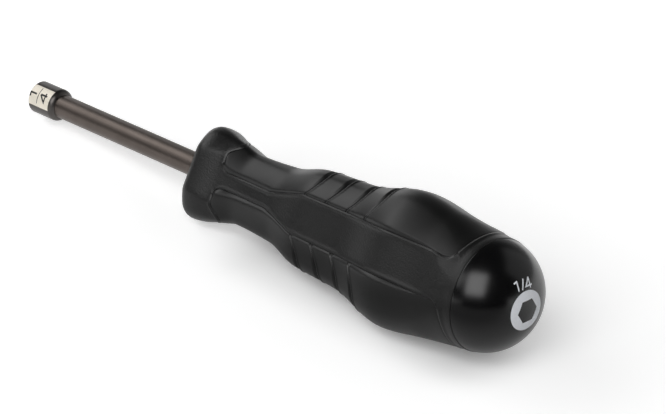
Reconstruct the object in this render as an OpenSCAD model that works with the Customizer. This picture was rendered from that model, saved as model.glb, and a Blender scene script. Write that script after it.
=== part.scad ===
// Nut driver: a hex socket on a hollow shaft, and a three-lobed handle with soft grip pads.
// The axis of the tool is X. The mouth of the socket is at x = 0, the butt points to +X and
// one lobe of the handle points up (+Z). Sizes are in millimetres.

/* [Socket] */
// Hex opening across flats: a 1/4 in hex with its working clearance
hex_af = 6.45; // [6:0.05:6.9]
// Depth of the hex opening
hex_depth = 6.8; // [5:0.1:8]
// Outer diameter of the socket
socket_d = 9; // [8.4:0.1:10.5]
// Length of the socket with its shoulder
socket_len = 9.7; // [9:0.1:14]
// Radius of the round shoulder at the back of the socket
shoulder_r = 1.7; // [0.6:0.1:2.4]
// Chamfer on the outer edge of the mouth
mouth_chamfer = 0.35; // [0.1:0.05:0.5]
// Flat ring left at the mouth between the outer chamfer and the lead-in
mouth_land = 0.2; // [0.1:0.05:0.3]

/* [Shaft] */
// Outer diameter of the tube
shaft_d = 6.6; // [6:0.05:7.5]
// Bore of the tube, clear of a screw that comes through the nut
bore_d = 4; // [3:0.1:4.6]
// Diameter of the turned end that sits in the socket
spigot_d = 5.5; // [5.2:0.05:5.8]
// From the mouth of the socket to the front of the handle
blade_len = 70; // [30:1:150]
// Length of the shaft inside the handle
embed_len = 70; // [50:1:92]
// Length of the two flats that stop the shaft from turning in the handle
key_len = 24; // [10:1:30]
// Distance of those flats from the axis
key_flat = 2.8; // [2.5:0.05:3]
// Width of the ring groove that stops the shaft from pulling out
catch_w = 3; // [1.5:0.1:5]
// Depth of that groove
catch_depth = 0.4; // [0.2:0.05:0.6]
// Distance between the groove and the flats
catch_lead = 6; // [3:0.5:12]
// Length of the plug that closes the inner end of the tube
plug_len = 6; // [3:0.5:12]
// Step from the bore out to the plug's seat
plug_step = 0.2; // [0.1:0.05:0.4]
// Chamfer on the front of the plug
plug_chamfer = 0.3; // [0.1:0.05:0.8]

/* [Handle profile] */
// How far the round front edge draws in, from the collar to the front face
nose_drop = 3.85; // [2:0.05:5]
// Collar: distance behind the front face
collar_at = 3.7; // [2:0.1:5.5]
// Collar: radius over the lobes
collar_lobe = 14.1; // [12.5:0.1:15.5]
// Collar: distance of the flats from the axis
collar_flat = 11.05; // [9.8:0.05:11.6]
// Flare behind the collar: distance behind the front face
flare_at = 11.7; // [9:0.1:13]
// Flare: radius over the lobes
flare_lobe = 12.7; // [11.2:0.1:13.4]
// Flare: distance of the flats from the axis
flare_flat = 8.9; // [8.4:0.1:9.8]
// Neck: distance behind the front face
neck_at = 18.6; // [16:0.1:23]
// Neck: radius over the lobes
neck_lobe = 10.8; // [9.8:0.05:11.4]
// Neck: distance of the flats from the axis
neck_flat = 8; // [7.6:0.05:8.6]
// Waist: distance behind the front face
waist_at = 31.5; // [27:0.1:36]
// Waist: radius over the lobes
waist_lobe = 11.4; // [10.6:0.05:12.2]
// Waist: distance of the flats from the axis
waist_flat = 9.05; // [8.2:0.05:9.6]
// Start of the grip: distance behind the front face
grip_at = 44; // [41:0.1:48]
// Start of the grip: radius over the lobes
grip_lobe = 14.7; // [13.4:0.05:15.2]
// Start of the grip: distance of the flats from the axis
grip_flat = 11.25; // [10.4:0.05:11.8]
// End of the straight grip: distance behind the front face
ridge_at = 60.5; // [57:0.1:66]
// End of the straight grip: radius over the lobes
ridge_lobe = 15.85; // [14.8:0.05:16.6]
// End of the straight grip: distance of the flats from the axis
ridge_flat = 12; // [11.4:0.05:12.8]
// Palm swell: distance behind the front face
swell_at = 79.5; // [74:0.1:82]
// Palm swell: radius over the lobes
swell_lobe = 20; // [18:0.1:21]
// Palm swell: distance of the flats from the axis
swell_flat = 15.8; // [15:0.1:17.2]
// Tail of the swell: distance behind the front face
tail_at = 91.5; // [88:0.1:95]
// Tail of the swell: radius over the lobes
tail_lobe = 18.05; // [17:0.05:18.8]
// Tail of the swell: distance of the flats from the axis
tail_flat = 14.9; // [14:0.05:15.6]
// Rear ring: distance behind the front face
ring_at = 99.5; // [98:0.1:101.5]
// Rear ring: radius over the lobes
ring_lobe = 16; // [15.8:0.05:16.8]
// Rear ring: distance of the flats from the axis
ring_flat = 15.55; // [15:0.05:15.8]
// Centre of the butt's ball: distance behind the front face
butt_at = 103.5; // [102:0.1:109]
// Radius of the butt's ball
butt_r = 15.4; // [14.6:0.1:16]
// From the centre of the ball back to the seam where the shell ends
seam_back = 1.6; // [1:0.1:4]
// Turn of a lobe's two facets away from its ridge
facet_turn = 40; // [36:0.5:44]
// Distance of a facet from the axis: its share of the way from the flats to the ridge
facet_share = 0.42; // [0.36:0.01:0.5]

/* [Grip pads] */
// Front edge of the pads on the ridge of a lobe: distance behind the front face
pad_front = 14.7; // [13.5:0.1:16]
// Rear edge of the pads on the ridge of a lobe: distance behind the front face
pad_rear = 101; // [99:0.1:101.5]
// How far a pad's front edge and grooves bow back between its sides and the ridge
pad_bow = 3.3; // [2:0.1:4]
// The same bow at the rear edge
rear_bow = 1; // [0.2:0.1:2]
// Radius of the corners of a pad
corner_r = 2.2; // [1:0.1:4]
// Depth of the pockets that hold the pads
pocket_depth = 1.7; // [1.5:0.05:1.9]
// Depth of the open seam round a pad
seam_depth = 0.45; // [0.2:0.05:0.6]
// Width of the open seam round a pad
seam_w = 0.55; // [0.4:0.05:0.8]
// Number of cross grooves in a pad
groove_count = 4; // [2:1:4]
// First groove on the ridge of a lobe: distance behind the front face
groove_first = 46.9; // [45:0.1:50]
// Distance between grooves
groove_pitch = 8; // [7:0.05:8.6]
// Depth of a groove on the ridge
groove_depth = 0.9; // [0.4:0.05:1]
// Width of the long front slope of a groove
groove_front_w = 1.7; // [1:0.1:2.2]
// Width of the short rear slope of a groove
groove_rear_w = 0.6; // [0.3:0.05:1]

/* [Flat strips] */
// Half width of the flat strip between two pads at the neck
strip_narrow = 2.25; // [1.8:0.05:3]
// Half width where the strip has opened out
strip_wide = 5.45; // [4.8:0.05:6.2]
// Half width at the tail of the swell
strip_rear = 6; // [5.2:0.05:6.6]
// Where the narrow strip starts to open: distance behind the front face
strip_opens = 30; // [26:0.1:34]
// Where it has opened: distance behind the front face
strip_open = 43; // [40:0.1:46]

/* [Core and fits] */
// Across flats of the six-sided core inside the shell
core_af = 10; // [9.5:0.1:10.6]
// Thickness of the shell's front wall
front_wall = 6; // [4:0.1:10]
// How far the glossy dome lies below the shell at their seam
dome_step = 0.12; // [0.05:0.01:0.3]
// Gap of a moulding to what it is moulded on
mould_gap = 0.05; // [0.03:0.01:0.1]
// Braze gap between the socket and the turned end of the tube
braze_gap = 0.03; // [0.02:0.01:0.06]
// Gap round the plug in the bore
plug_gap = 0.02; // [0.01:0.01:0.05]
// Bond line under the pads
pad_gap = 0.15; // [0.1:0.01:0.2]

/* [Hidden] */
$fn = 96;

// Finishes, as they show
oxide_black = "#47474a";
burnt_brown = "#5a504e";
plug_steel = "#8d8f92";
gloss_black = "#151517";
satin_black = "#303131";
pad_black = "#454345";

// Socket and shaft
socket_r = socket_d / 2;
hex_corner_r = hex_af / 2 / cos(30);
lead_r = socket_r - mouth_chamfer - mouth_land;
lead_end_r = hex_af / 2 - mouth_chamfer;
shaft_r = shaft_d / 2;
bore_r = bore_d / 2;
seat_r = bore_r + plug_step;
spigot_r = spigot_d / 2;
shoulder_turn = asin(max(0, (shaft_r - socket_r + shoulder_r) / shoulder_r));
shoulder_z = socket_len - shoulder_r * cos(shoulder_turn);
shaft_end = blade_len + embed_len;
seat_start = shaft_end - plug_len;
key_start = shaft_end - key_len;
catch_start = key_start - catch_lead - catch_w;
cut_over = 1;

// Handle: stations along it as [distance behind the front face, size]
lobe_line = [
    [collar_at, collar_lobe], [flare_at, flare_lobe], [neck_at, neck_lobe], [waist_at, waist_lobe],
    [grip_at, grip_lobe], [ridge_at, ridge_lobe], [swell_at, swell_lobe], [tail_at, tail_lobe],
    [ring_at, ring_lobe], [butt_at, butt_r]
];
flat_line = [
    [collar_at, collar_flat], [flare_at, flare_flat], [neck_at, neck_flat], [waist_at, waist_flat],
    [grip_at, grip_flat], [ridge_at, ridge_flat], [swell_at, swell_flat], [tail_at, tail_flat],
    [ring_at, ring_flat], [butt_at, butt_r]
];
shell_end = butt_at + seam_back;
core_front = blade_len + front_wall;
core_flat = core_af / 2;
seam_x = blade_len + shell_end;

// Pockets, pads and grooves
wall_run = 0.6 * seam_w;
pocket_front = pad_front - seam_w;
pocket_rear = pad_rear + seam_w;
groove_last = groove_first + (groove_count - 1) * groove_pitch;
groove_edge_share = 0.35;
edge_share = 0.92;

// Facets: columns per lobe and rings per stretch of the handle
strip_cols = 2;
floor_cols = 5;
lobe_cols = 2 * strip_cols + 2 * floor_cols + 2;
pad_cols = 4;
nose_rings = 6;
collar_rings = 3;
pocket_rings = 22;
rear_rings = 3;
neck_rings = 9;
swell_rings = 8;

// Monotone cubic curve through stations, level at both ends
function secant(p, i) = (p[i + 1][1] - p[i][1]) / (p[i + 1][0] - p[i][0]);
function station_slope(p, i) =
    i == 0 || i == len(p) - 1 ? 0 :
    let (
        before = secant(p, i - 1),
        after = secant(p, i),
        w1 = 2 * (p[i + 1][0] - p[i][0]) + p[i][0] - p[i - 1][0],
        w2 = p[i + 1][0] - p[i][0] + 2 * (p[i][0] - p[i - 1][0])
    )
    before * after <= 0 ? 0 : (w1 + w2) / (w1 / before + w2 / after);
function hermite(t, y0, y1, s0, s1) =
    y0 + t * t * (3 - 2 * t) * (y1 - y0) + t * (1 - t) * ((1 - t) * s0 - t * s1);
function smooth_line(p, h) =
    h <= p[0][0] ? p[0][1] :
    h >= p[len(p) - 1][0] ? p[len(p) - 1][1] :
    let (
        i = max([for (k = [0:len(p) - 2]) if (p[k][0] <= h) k]),
        run = p[i + 1][0] - p[i][0]
    )
    hermite((h - p[i][0]) / run, p[i][1], p[i + 1][1], station_slope(p, i) * run, station_slope(p, i + 1) * run);

// Radii of the handle at a distance h behind its front face: round nose, stations, ball
function clamp(v) = min(1, max(0, v));
function nose(h) =
    let (u = clamp(1 - h / collar_at))
    nose_drop * (1 - sqrt(1 - u * u));
function ball(h) = sqrt(butt_r * butt_r - (h - butt_at) * (h - butt_at));
function lobe_r(h) = h > butt_at ? ball(h) : smooth_line(lobe_line, h) - nose(h);
function flat_r(h) = h > butt_at ? ball(h) : min(lobe_r(h), smooth_line(flat_line, h) - nose(h));

// A lobe is a round ridge between two facets: its radius at an angle a from the ridge
function lobe_section(lobe, flat, a) =
    let (
        facet = flat + facet_share * (lobe - flat),
        centre = (lobe - facet) / (1 - cos(facet_turn)),
        ridge = lobe - centre,
        round_end = atan2(ridge * sin(facet_turn), centre + ridge * cos(facet_turn))
    )
    a < round_end
        ? centre * cos(a) + sqrt(ridge * ridge - pow(centre * sin(a), 2))
        : facet / cos(facet_turn - a);
function crown_r(h, a) = min(lobe_r(h), lobe_section(lobe_r(h), flat_r(h), abs(a)));
// The flats cut the lobes of the shell; the pads keep the full lobe and stand proud of them
function skin_r(h, a) = min(crown_r(h, a), flat_r(h) / cos(60 - abs(a)));
function arc_angle(w, r) = w / r * 180 / PI;

// Outline of a pocket: half angle of the pocket at the ring whose ridge is at h
function bow(h) = lookup(h, [
    [collar_at, 0], [pad_front, pad_bow], [groove_last, pad_bow], [pad_rear, rear_bow], [shell_end, 0]
]);
function strip_half(h) = lookup(h, [
    [strip_opens, strip_narrow], [strip_open, strip_wide], [tail_at, strip_rear]
]);
function corner_cut(h) =
    let (
        front = clamp(1 - (h - pocket_front) / corner_r),
        rear = clamp(1 - (pocket_rear - h) / corner_r)
    )
    corner_r * (2 - sqrt(1 - front * front) - sqrt(1 - rear * rear));
function pocket_a(h) =
    let (edge = h - bow(h))
    60 - atan(strip_half(edge) / flat_r(edge)) - arc_angle(corner_cut(h), lobe_r(h));

// A point of the handle: distance h behind the front face, angle from +Y towards +Z, radius
function place(h, angle, r) = [blade_len + h, r * cos(angle), r * sin(angle)];
function skin_col(h, a, depth) = [h, a, skin_r(h, a) - depth];

// One ring of the shell's outside, with the floors of its three pockets depth below the skin
function shell_cols(h, depth) =
    let (
        a = pocket_a(h),
        floor_a = a - arc_angle(wall_run, lobe_r(h)),
        side = h - bow(h)
    )
    concat(
        [for (i = [0:strip_cols]) skin_col(side, -60 + (60 - a) * i / strip_cols, 0)],
        [for (i = [-floor_cols:floor_cols])
            skin_col(h - bow(h) * pow(i / floor_cols, 2), floor_a * i / floor_cols, depth)],
        [for (i = [strip_cols:-1:1]) skin_col(side, 60 - (60 - a) * i / strip_cols, 0)]
    );
function shell_ring(h, depth) =
    [for (k = [0:2], c = shell_cols(h, depth)) place(c[0], 90 + 120 * k + c[1], c[2])];

// One ring of the shell's inside: the shaft's hole, or the six-sided hole for the core
function hex_r(a, flat) = flat / cos(abs(a) < 30 ? a : 60 - abs(a));
function round_ring(h, r) =
    [for (k = [0:2], i = [0:lobe_cols - 1])
        place(h, 30 + 120 * (k + i / lobe_cols), r / cos(60 / lobe_cols))];
function hex_ring(h, flat) =
    [for (k = [0:2], i = [0:lobe_cols - 1])
        place(h, 30 + 120 * (k + i / lobe_cols), hex_r(120 * i / lobe_cols - 60, flat))];

// Rings of the shell as [distance, pocket depth], from the front face to the seam
shell_stations = concat(
    [for (i = [0:nose_rings]) [collar_at * (1 - cos(90 * i / nose_rings)), 0]],
    [for (i = [1:collar_rings]) [collar_at + (pocket_front - collar_at) * i / collar_rings, 0]],
    [for (i = [0:pocket_rings])
        [pocket_front + wall_run + (pocket_rear - pocket_front - 2 * wall_run) * i / pocket_rings, pocket_depth]],
    [for (i = [0:rear_rings]) [pocket_rear + (shell_end - pocket_rear) * i / rear_rings, 0]]
);

// Rings of a pad as [distance, drop of its edge, depth of a groove]
pad_edge = seam_depth;
neck_end = groove_first - groove_front_w;
swell_start = groove_last + groove_rear_w;
pad_stations = concat(
    [[pad_front, pad_edge, 0]],
    [for (i = [0:neck_rings - 1])
        [pad_front + pad_edge + (neck_end - pad_front - pad_edge) * i / neck_rings, 0, 0]],
    [for (g = [0:groove_count - 1], s = [-groove_front_w, 0, groove_rear_w])
        [groove_first + g * groove_pitch + s, 0, s == 0 ? groove_depth : 0]],
    [for (i = [1:swell_rings])
        [swell_start + (pad_rear - pad_edge - swell_start) * i / swell_rings, 0, 0]],
    [[pad_rear, pad_edge, 0]]
);
pad_across = concat([-1], [for (i = [-pad_cols:pad_cols]) edge_share * i / pad_cols], [1]);

// One closed loop round a pad: across its face, then back across its underside
function pad_loop(s) =
    let (
        h = s[0],
        half = pocket_a(h) - arc_angle(seam_w, lobe_r(h)),
        cols = [for (v = pad_across) [h - bow(h) * v * v, half * v, v]],
        last = len(cols) - 1
    )
    concat(
        [for (c = cols)
            let (
                edge = max(s[1], abs(c[2]) == 1 ? pad_edge : 0),
                top_r = edge > 0 ? skin_r(c[0], c[1]) - edge : crown_r(c[0], c[1])
            )
            place(c[0], 90 + c[1], top_r - s[2] * (1 - (1 - groove_edge_share) * c[2] * c[2]))],
        [for (i = [last:-1:0])
            place(cols[i][0], 90 + cols[i][1], skin_r(cols[i][0], cols[i][1]) - pocket_depth + pad_gap)]
    );

// Triangles between rings of m points each: ring i to ring j
function band(i, j, m) =
    [for (k = [0:m - 1], t = [0, 1])
        let (a = i * m + k, b = i * m + (k + 1) % m, c = j * m + (k + 1) % m, d = j * m + k)
        t == 0 ? [a, c, b] : [a, d, c]];

// A tube whose rings run along its outside and back along its inside
module ring_tube(rings) {
    m = len(rings[0]);
    n = len(rings);
    polyhedron(
        points = [for (r = rings, p = r) p],
        faces = [for (i = [0:n - 1]) each band(i, (i + 1) % n, m)]
    );
}

// A slab whose loops run across its face and back across its underside, closed at both ends
module loop_slab(loops) {
    m = len(loops[0]);
    n = len(loops);
    polyhedron(
        points = [for (l = loops, p = l) p],
        faces = concat(
            [for (i = [0:n - 2]) each band(i, i + 1, m)],
            [for (e = [0, n - 1], k = [0:m / 2 - 2], t = [0, 1])
                let (a = e * m + k, b = a + 1, c = e * m + m - 2 - k, d = c + 1)
                t == 0 ? (e == 0 ? [a, b, c] : [a, c, b]) : (e == 0 ? [a, c, d] : [a, d, c])]
        )
    );
}

// Turns a shape that stands on Z so that it lies along X
module along_x() {
    rotate([0, 90, 0]) children();
}

// Half section of the socket: barrel, chamfered mouth and round shoulder
module socket_section() {
    difference() {
        intersection() {
            square([socket_r, socket_len]);
            union() {
                square([socket_r, shoulder_z]);
                square([socket_r - shoulder_r, socket_len]);
                translate([socket_r - shoulder_r, shoulder_z]) circle(shoulder_r);
            }
        }
        polygon([
            [socket_r - mouth_chamfer, 0],
            [socket_r + cut_over, 0],
            [socket_r + cut_over, mouth_chamfer + cut_over]
        ]);
    }
}

module hex_socket() {
    color(oxide_black)
    along_x()
    difference() {
        rotate_extrude() socket_section();
        translate([0, 0, -cut_over])
            cylinder(r = hex_corner_r, h = hex_depth + cut_over, $fn = 6);
        cylinder(r1 = lead_r, r2 = lead_end_r, h = lead_r - lead_end_r);
        cylinder(r = spigot_r + braze_gap, h = socket_len + cut_over);
    }
}

// Outside of the tube behind the socket, larger all round by grow for the hole that it fills
module shaft_form(grow) {
    difference() {
        translate([0, 0, socket_len])
            cylinder(r = shaft_r + grow, h = shaft_end - socket_len + grow);
        for (side = [0, 180])
            rotate([0, 0, side])
                translate([key_flat + grow, -shaft_d, key_start + grow])
                    cube([shaft_d, 2 * shaft_d, key_len + cut_over]);
        translate([0, 0, catch_start + grow])
            difference() {
                cylinder(r = shaft_d, h = catch_w - 2 * grow);
                cylinder(r = shaft_r - catch_depth + grow, h = catch_w);
            }
    }
}

module hollow_shaft() {
    color(burnt_brown)
    along_x()
    difference() {
        union() {
            shaft_form(0);
            translate([0, 0, hex_depth])
                cylinder(r = spigot_r, h = socket_len - hex_depth + cut_over);
        }
        translate([0, 0, hex_depth - cut_over])
            cylinder(r = bore_r, h = shaft_end - hex_depth + 2 * cut_over);
        translate([0, 0, seat_start])
            cylinder(r = seat_r, h = plug_len + cut_over);
    }
}

module shaft_plug() {
    plug_r = seat_r - plug_gap;
    color(plug_steel)
    along_x()
    translate([0, 0, seat_start]) {
        cylinder(r1 = plug_r - plug_chamfer, r2 = plug_r, h = plug_chamfer);
        translate([0, 0, plug_chamfer]) cylinder(r = plug_r, h = plug_len - plug_chamfer);
    }
}

// Six-sided bar round the shaft, and the dome that shows as the butt
module handle_core() {
    color(gloss_black)
    along_x()
    difference() {
        union() {
            translate([0, 0, core_front + mould_gap])
                rotate([0, 0, 30])
                    cylinder(r = core_flat / cos(30), h = seam_x + cut_over - core_front - mould_gap, $fn = 6);
            intersection() {
                translate([0, 0, blade_len + butt_at]) sphere(r = butt_r - dome_step);
                translate([-butt_r, -butt_r, seam_x + mould_gap]) cube(2 * butt_r);
            }
        }
        shaft_form(mould_gap);
    }
}

// Collar, three flat strips and rear ring in one moulding, with a pocket on each lobe
module handle_shell() {
    color(satin_black)
    ring_tube(concat(
        [for (s = shell_stations) shell_ring(s[0], s[1])],
        [
            hex_ring(shell_end, core_flat + mould_gap),
            hex_ring(front_wall, core_flat + mould_gap),
            round_ring(front_wall, shaft_r + mould_gap),
            round_ring(0, shaft_r + mould_gap)
        ]
    ));
}

// The pad of the lobe that stands turn degrees round the axis from the top
module grip_pad(turn) {
    color(pad_black)
    rotate([turn, 0, 0])
        loop_slab([for (s = pad_stations) pad_loop(s)]);
}

module grip_pad_top() {
    grip_pad(0);
}

module grip_pad_left() {
    grip_pad(120);
}

module grip_pad_right() {
    grip_pad(240);
}

hex_socket();
hollow_shaft();
shaft_plug();
handle_core();
handle_shell();
grip_pad_top();
grip_pad_left();
grip_pad_right();
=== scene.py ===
"""Looks of a nut driver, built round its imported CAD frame.

The axis of the tool is X: the socket's mouth is at x = 0, the butt points to +X and one lobe of the handle
points up. Blender's lengths are metres. The tool's own sizes below are millimetres, those of the stage are
metres, and angles round the axis are radians.
"""
import math

import bmesh
import bpy
import numpy as np
from bpy.props import FloatProperty, FloatVectorProperty, PointerProperty
from bpy.types import Operator, Panel, PropertyGroup
from mathutils import Matrix, Vector


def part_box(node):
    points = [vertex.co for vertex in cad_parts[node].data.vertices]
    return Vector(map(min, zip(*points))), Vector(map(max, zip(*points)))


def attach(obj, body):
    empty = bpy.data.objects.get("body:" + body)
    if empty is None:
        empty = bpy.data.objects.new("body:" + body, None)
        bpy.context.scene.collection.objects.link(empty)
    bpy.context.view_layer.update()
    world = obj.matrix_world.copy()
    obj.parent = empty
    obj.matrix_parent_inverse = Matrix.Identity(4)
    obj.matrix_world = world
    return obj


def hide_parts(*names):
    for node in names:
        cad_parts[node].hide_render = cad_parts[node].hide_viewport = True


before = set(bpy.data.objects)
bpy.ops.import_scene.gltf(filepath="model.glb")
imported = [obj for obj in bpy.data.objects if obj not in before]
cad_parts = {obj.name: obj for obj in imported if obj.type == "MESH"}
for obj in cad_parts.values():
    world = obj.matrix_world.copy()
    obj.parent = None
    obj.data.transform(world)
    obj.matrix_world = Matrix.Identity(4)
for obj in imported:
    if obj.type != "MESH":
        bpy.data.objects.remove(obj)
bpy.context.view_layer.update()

bl_info = {
    "name": "Nut driver",
    "version": (1, 0, 0),
    "blender": (4, 5, 0),
    "location": "3D View > Sidebar > Nut driver",
    "description": "Dresses a nut driver: shell, grip pads, domed butt, oxide steel, size marks and stage",
    "category": "Object",
}

MM = 0.001
BODY = "root"
# The handle has three lobes, and each reaches this angle to either side of its ridge
THIRD = math.pi / 3
UP = math.pi / 2

# Handle, as distances behind its front face
HANDLE_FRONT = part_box("handle_shell")[0].x / MM
SHELL_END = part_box("handle_shell")[1].x / MM - HANDLE_FRONT
# Stations of the handle: distance, radius over the lobes, distance of the flats from the axis
STATIONS = np.array([
    (3.7, 14.1, 11.05),
    (11.7, 12.7, 8.9),
    (18.6, 10.8, 8.0),
    (31.5, 11.4, 9.05),
    (44.0, 14.7, 11.25),
    (60.5, 15.85, 12.0),
    (79.5, 20.0, 15.8),
    (91.5, 18.05, 14.9),
    (99.5, 16.0, 15.55),
    (103.5, 15.4, 15.4),
])
# Each lobe is a round ridge between two broad facets, and the facets meet the flats. A facet is a little
# rounded: its middle is turned from the ridge by FACET_TURN and its round starts at RIDGE_TURN. It is widest
# where the ridge stands FACET_FULL or more above the flats
FACET_TURN = math.radians(40)
RIDGE_TURN = math.radians(28)
FACET_SHARE = 0.46
FACET_ROUND = 0.5
FACET_FULL = 2.0
FACET_BLEND = 0.1
# Round nose in front of the collar, dome behind the last station, and the inside of the shell
COLLAR_AT = STATIONS[0, 0]
NOSE_DROP = 3.85
BUTT_AT, BUTT_R = STATIONS[-1, :2]
DOME_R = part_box("handle_core")[1].x / MM - HANDLE_FRONT - BUTT_AT
HOLE_R = 3.35
CORE_FLAT = 5.05
FRONT_WALL = 6.0

# Pads and the pockets they lie in
PAD_FRONT, PAD_REAR = 14.7, 101.0
SEAM = 0.55
POCKET_FRONT, POCKET_REAR = PAD_FRONT - SEAM, PAD_REAR + SEAM
POCKET_DEPTH = 1.7
PAD_UNDERSIDE = 1.55
CORNER_FRONT, CORNER_REAR = 2.9, 2.6
GROOVES = 4
GROOVE_FIRST = 46.9
# Lines across a pad bow forward: how far they have run at its side, and how soon near its front
BOW_AT = (COLLAR_AT, PAD_FRONT, 70.9, PAD_REAR, SHELL_END)
BOW = (0.0, 3.0, 3.3, 1.0, 0.0)
BOW_FRONT = (PAD_FRONT, 36.0)
BOW_REACH = 0.7
# Half widths of the flat strips between the pockets
STRIP_AT = (30.0, 43.0, 91.5)
STRIP_HALF = (2.25, 5.45, 6.0)
LOBES = {"top": 0.0, "left": 2 * THIRD, "right": 4 * THIRD}

# Edge of a pocket: distance inside the pocket's outline, depth below the skin. A small bead runs round it
RIM = np.array([
    (-1.5, 0.0), (-1.25, -0.03), (-1.0, -0.075), (-0.8, -0.115), (-0.68, -0.13),
    (-0.6, -0.13), (-0.52, -0.115), (-0.4, -0.08), (-0.25, -0.03), (-0.1, 0.01),
    (-0.02, 0.04), (0.0, 0.1), (0.03, 0.9), (0.05, POCKET_DEPTH),
])
# Edge of a pad: distances inside the same outline of the lines that its rounding is drawn with
PAD_EDGE = np.array([0.06, 0.07, 0.13, 0.23, 0.37, 0.55, 0.77, 1.05, 1.4, 1.8])
PAD_WALL = 0.5
PAD_SINK = 0.03
PAD_LEAST = 0.2
# The edge rolls over most of the height by which the pad stands above the shell, wider where that is more
ROLL_DROP = 0.85
ROLL_LEAST = 0.4
ROLL_SHARE = 2.0
# Middle line of a small rounded edge, as a share of its radius from each of its two faces
ROUND_MIDDLE = 0.3

SOCKET_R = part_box("hex_socket")[1].z / MM


def to_linear(colour):
    """Linear red, green and blue of an sRGB hex colour."""
    parts = [int(colour[i:i + 2], 16) / 255 for i in (1, 3, 5)]
    return tuple(c / 12.92 if c <= 0.04045 else ((c + 0.055) / 1.055) ** 2.4 for c in parts)


# Form of the handle


def smooth_line(h, sizes):
    """Monotone cubic through the handle's stations, level at both ends."""
    at = STATIONS[:, 0]
    run = np.diff(at)
    rise = np.diff(sizes) / run
    before, after = rise[:-1], rise[1:]
    same = before * after > 0
    w1 = (2 * run[1:] + run[:-1])[same]
    w2 = (run[1:] + 2 * run[:-1])[same]
    slope = np.zeros(len(at))
    slope[1:-1][same] = (w1 + w2) / (w1 / before[same] + w2 / after[same])
    h = np.clip(h, at[0], at[-1])
    i = np.clip(np.searchsorted(at, h, side="right") - 1, 0, len(run) - 1)
    t = (h - at[i]) / run[i]
    bend = t * (1 - t) * ((1 - t) * slope[i] - t * slope[i + 1]) * run[i]
    return sizes[i] + t * t * (3 - 2 * t) * (sizes[i + 1] - sizes[i]) + bend


def radii(h):
    """Radius over the lobes and distance of the flats: round nose, stations, ball."""
    u = np.clip(1 - h / COLLAR_AT, 0, 1)
    nose = NOSE_DROP * (1 - np.sqrt(1 - u * u))
    ball = np.sqrt(np.maximum(BUTT_R ** 2 - (h - BUTT_AT) ** 2, 0))
    behind = h > BUTT_AT
    lobe = np.where(behind, ball, smooth_line(h, STATIONS[:, 1]) - nose)
    flat = np.where(behind, ball, np.minimum(lobe, smooth_line(h, STATIONS[:, 2]) - nose))
    return lobe, flat


def lobe_skin(h, a):
    """Radius of a lobe at an angle from its ridge: a tight arc at the ridge and a wide one for the facet."""
    lobe, flat = radii(h)
    a = np.abs(a)
    facet = flat + FACET_SHARE * (lobe - flat)
    wide = lobe * (1 + FACET_ROUND * np.clip((lobe - flat) / FACET_FULL, 0, 1))
    spread = math.cos(FACET_TURN - RIDGE_TURN)
    tight = facet - lobe * math.cos(FACET_TURN) - wide * (1 - spread)
    tight = tight / (spread - math.cos(FACET_TURN))
    centre = lobe - tight
    x = centre + (tight - wide) * math.cos(RIDGE_TURN)
    y = (tight - wide) * math.sin(RIDGE_TURN)
    meet = np.arctan2(tight * math.sin(RIDGE_TURN), centre + tight * math.cos(RIDGE_TURN))
    ridge = centre * np.cos(a) + np.sqrt(np.maximum(tight ** 2 - (centre * np.sin(a)) ** 2, 0))
    side = x * np.cos(a) + y * np.sin(a)
    side = side + np.sqrt(np.maximum(wide ** 2 - (x * np.sin(a) - y * np.cos(a)) ** 2, 0))
    return np.minimum(np.where(a < meet, ridge, side), lobe)


def skin(h, a):
    """Radius of the shell: its lobes, cut by the flats with a soft edge."""
    a = np.abs(a)
    lobe = lobe_skin(h, a)
    flat = radii(h)[1] / np.cos(THIRD - a)
    over = np.abs(lobe - flat) / FACET_BLEND
    round_off = FACET_BLEND * np.log1p(np.exp(-over)) * np.clip(radii(h)[0] - radii(h)[1], 0, 1)
    return np.minimum(lobe, flat) - round_off


def bow(h, v=1.0):
    """How far a line across a pad has run forward at a share v of the way from the ridge to its side."""
    share = np.minimum(np.abs(v) / BOW_REACH, 1)
    arch = share * share * (3 - 2 * share)
    front = np.interp(h, BOW_FRONT, (1, 0))
    return np.interp(h, BOW_AT, BOW) * (v * v + (arch - v * v) * front)


def pocket_angle(h):
    """Half angle of a pocket at the ring whose ridge is at h."""
    side = h - bow(h)
    front = np.clip(1 - (h - POCKET_FRONT) / CORNER_FRONT, 0, 1)
    rear = np.clip(1 - (POCKET_REAR - h) / CORNER_REAR, 0, 1)
    cut = CORNER_FRONT * (1 - np.sqrt(1 - front ** 2)) + CORNER_REAR * (1 - np.sqrt(1 - rear ** 2))
    strip = np.arctan(np.interp(side, STRIP_AT, STRIP_HALF) / radii(side)[1])
    return THIRD - strip - cut / radii(h)[0]


def place(h, a, r, turn=0.0):
    """Points of the handle, in metres, on the lobe that stands turn round the axis from the top."""
    angle = a + UP + turn
    return np.stack([HANDLE_FRONT + h, r * np.cos(angle), r * np.sin(angle)], axis=-1) * MM


# Meshes

WELD = 1e-7
CREASE = 35
PAD_CREASE = 60


def quads(n, m, first=0, wrap_rows=False, wrap_cols=False):
    """Faces of a grid of n rows of m points."""
    rows = np.arange(n if wrap_rows else n - 1)
    cols = np.arange(m if wrap_cols else m - 1)
    i, j = (index.ravel() for index in np.meshgrid(rows, cols, indexing="ij"))
    i2, j2 = (i + 1) % n, (j + 1) % m
    return np.stack([i * m + j, i * m + j2, i2 * m + j2, i2 * m + j], axis=1) + first


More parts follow.
